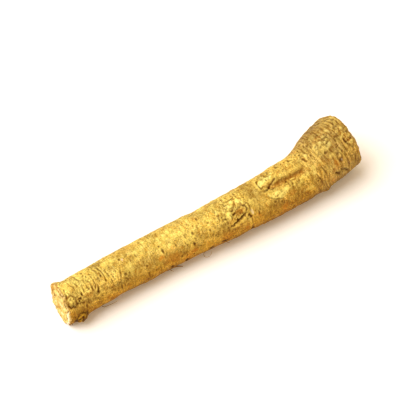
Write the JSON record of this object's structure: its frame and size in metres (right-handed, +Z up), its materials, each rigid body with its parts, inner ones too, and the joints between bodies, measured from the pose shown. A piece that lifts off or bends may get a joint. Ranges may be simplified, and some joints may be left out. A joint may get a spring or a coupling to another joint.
{
  "type": "horseradish root",
  "caption": "Trimmed horseradish root lying on its side, with a cut tip, a bent thicker head, a furrow and side-root scars.",
  "frame": {"origin": "middle of the footprint, on the surface that the root lies on", "axes": "+X along the root from the cut tip to the head, +Y to the side that the head leans to, +Z up"},
  "size_m": [0.2896, 0.0552, 0.0518],
  "materials": {
    "root_skin": null
  },
  "bodies": {
    "root": {"horseradish_root": "root_skin"}
  },
  "joints": []
}
